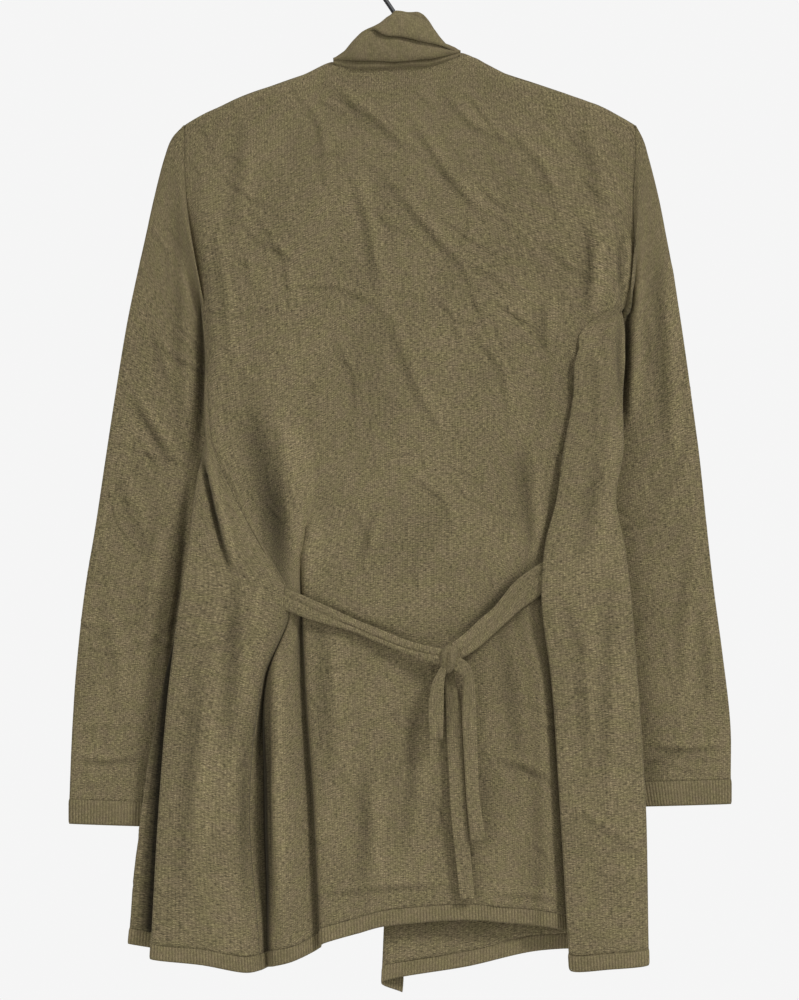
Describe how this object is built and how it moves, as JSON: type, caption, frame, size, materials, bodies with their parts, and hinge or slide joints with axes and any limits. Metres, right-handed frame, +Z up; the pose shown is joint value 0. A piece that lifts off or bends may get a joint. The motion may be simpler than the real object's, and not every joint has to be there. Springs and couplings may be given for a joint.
{
  "type": "cardigan on a hanger",
  "caption": "Open waterfall cardigan in fine olive melange knit with rolled collar, ribbed hem and cuffs and a tied back bow, hung on a plain hanger.",
  "frame": {"origin": "inner top of the hanger's hook, where a rail or peg carries it", "axes": "+Z up, +X to the right in the view of the garment's back, +Y towards the garment's front and the wall"},
  "size_m": [0.5826, 0.0612, 0.9158],
  "materials": {
    "knit": "matte",
    "rib_knit": "matte",
    "hanger_plastic": "matte",
    "hook_wire": "satin"
  },
  "bodies": {
    "root": {"back": "knit", "front_left": "knit", "front_right": "knit", "sleeve_left": "knit", "sleeve_right": "knit", "cuff_left": "rib_knit", "cuff_right": "rib_knit", "hem_back": "rib_knit", "hem_left": "rib_knit", "hem_right": "rib_knit", "collar": "knit", "tie_left": "knit", "tie_right": "knit", "knot": "knit", "tie_loop": "knit", "tie_end_long": "knit", "tie_end_short": "knit", "hanger_arms": "hanger_plastic", "hanger_hook": "hook_wire"}
  },
  "joints": []
}
